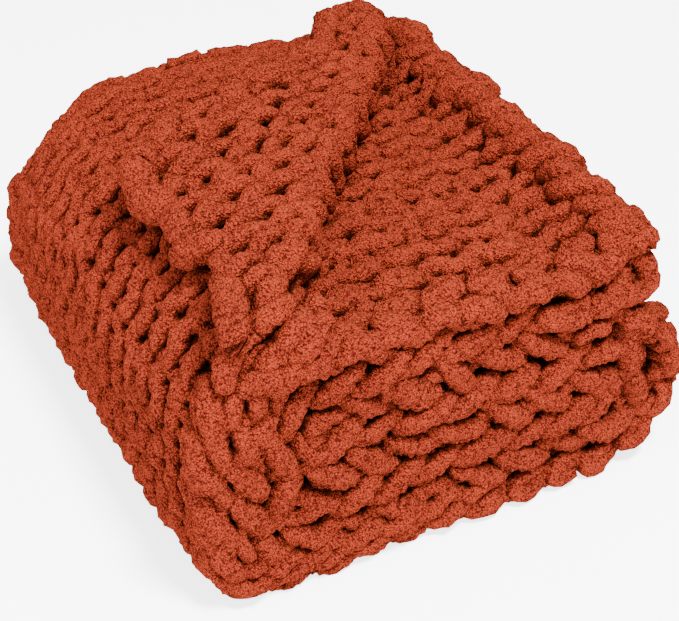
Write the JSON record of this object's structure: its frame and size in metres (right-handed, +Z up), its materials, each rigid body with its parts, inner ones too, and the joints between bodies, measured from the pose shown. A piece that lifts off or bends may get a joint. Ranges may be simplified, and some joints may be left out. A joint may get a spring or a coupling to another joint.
{
  "type": "folded knit throw blanket",
  "caption": "Chunky knit throw blanket folded into a soft, thick pile of layers, with one corner of the top turned back over it. Lies flat on a bed, sofa or shelf.",
  "frame": {"origin": "On the surface the pile lies on, under the middle of its box", "axes": "+X runs along the layers toward the end with the raised rim, +Y toward the back cut edges, +Z up"},
  "size_m": [0.4392, 0.5, 0.2735],
  "materials": {
    "rust yarn": "matt brushed chunky yarn"
  },
  "bodies": {
    "root": {"blanket": "rust yarn"}
  },
  "joints": []
}
